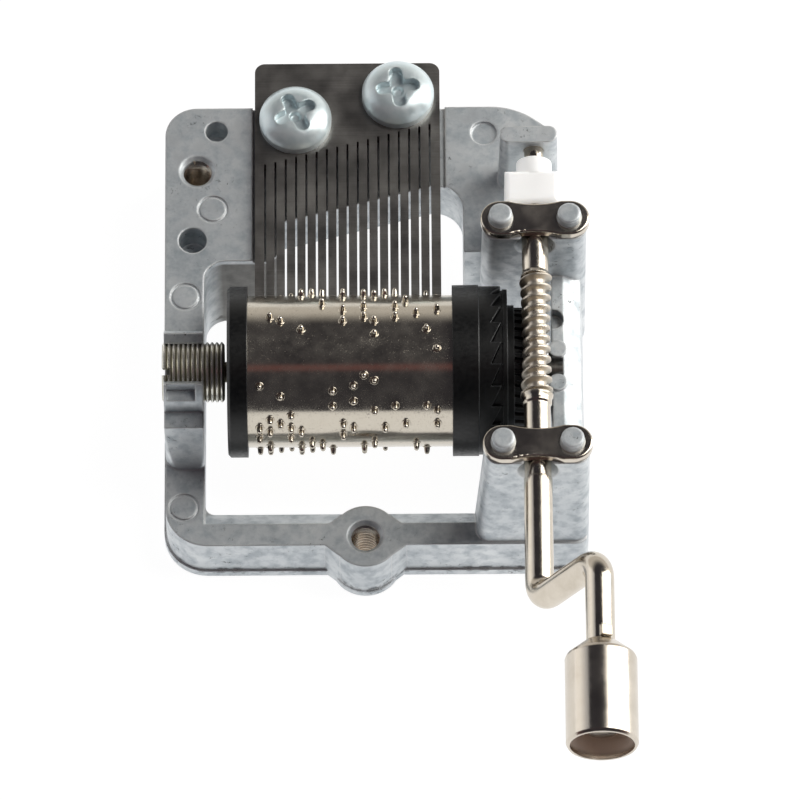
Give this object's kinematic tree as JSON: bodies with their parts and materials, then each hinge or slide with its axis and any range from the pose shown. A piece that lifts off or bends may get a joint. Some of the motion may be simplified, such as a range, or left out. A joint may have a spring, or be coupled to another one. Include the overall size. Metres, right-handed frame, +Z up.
{
  "type": "hand-crank music box movement",
  "caption": "Hand-crank cylinder music movement: pinned drum, steel comb, worm drive and a bent crank with a spinning knob on a die-cast frame.",
  "frame": {"origin": "axis of the front M3 screw hole at the frame's base face", "axes": "+X along the drum towards the worm wheel, +Y away from the crank handle, +Z up from the base face"},
  "size_m": [0.0409, 0.0737, 0.0294],
  "materials": {
    "zinc": "as-cast zinc alloy, satin with casting marks",
    "plate_nickel": "blanked steel, bright nickel plated",
    "comb_steel": "hardened steel, ground, dark satin",
    "lead": "dull cast lead",
    "damper_wire": "bare spring wire",
    "zinc_plate": "bright bluish zinc plate",
    "screw_steel": "turned steel, nickel flash",
    "white_nylon": "natural white nylon",
    "arbor_steel": "ground steel pin",
    "drum_nickel": "nickel-plated brass tube, fine turned lines",
    "pin_steel": "drawn steel pins, polished tips",
    "black_nylon": "moulded black nylon, semi-gloss",
    "spring_steel": "spring wire",
    "crank_nickel": "steel rod, nickel plated",
    "knob_nickel": "drawn steel cup, nickel plated",
    "bush_brass": "turned brass"
  },
  "bodies": {
    "frame": {"frame": "zinc", "front_cap_plate": "plate_nickel", "rear_cap_plate": "plate_nickel", "comb": "comb_steel", "comb_weights": "lead", "comb_dampers": "damper_wire", "comb_screw_left": "zinc_plate", "comb_screw_right": "zinc_plate", "pivot_screw": "screw_steel", "thrust_sleeve": "white_nylon", "wheel_arbor": "arbor_steel"},
    "crank": {"worm_crankshaft": "crank_nickel"},
    "knob": {"knob_shell": "knob_nickel", "knob_bush": "bush_brass"},
    "drum": {"drum_sleeve": "drum_nickel", "drum_pins": "pin_steel", "left_end_cap": "black_nylon", "ratchet_end_cap": "black_nylon"},
    "worm_wheel": {"worm_wheel": "black_nylon", "clutch_spring": "spring_steel"}
  },
  "joints": [
    {"name": "crank_turn", "type": "hinge", "parent": "frame", "child": "crank", "pos_m": [0.015, 0.01295, 0.0184], "axis": [0, 1, 0], "continuous": true},
    {"name": "worm_wheel_turn", "type": "hinge", "parent": "frame", "child": "worm_wheel", "pos_m": [0.0145, 0.01295, 0.012], "axis": [1, 0, 0], "continuous": true},
    {"name": "drum_turn", "type": "hinge", "parent": "frame", "child": "drum", "pos_m": [-0.0012, 0.01295, 0.012], "axis": [1, 0, 0], "continuous": true},
    {"name": "knob_spin", "type": "hinge", "parent": "crank", "child": "knob", "pos_m": [0.02, -0.026, 0.0263], "axis": [0, 1, 0], "continuous": true}
  ],
  "couplings": [
    {"joint": "worm_wheel_turn", "follows": "crank_turn", "ratio": 0.029412},
    {"joint": "drum_turn", "follows": "crank_turn", "ratio": 0.029412}
  ]
}
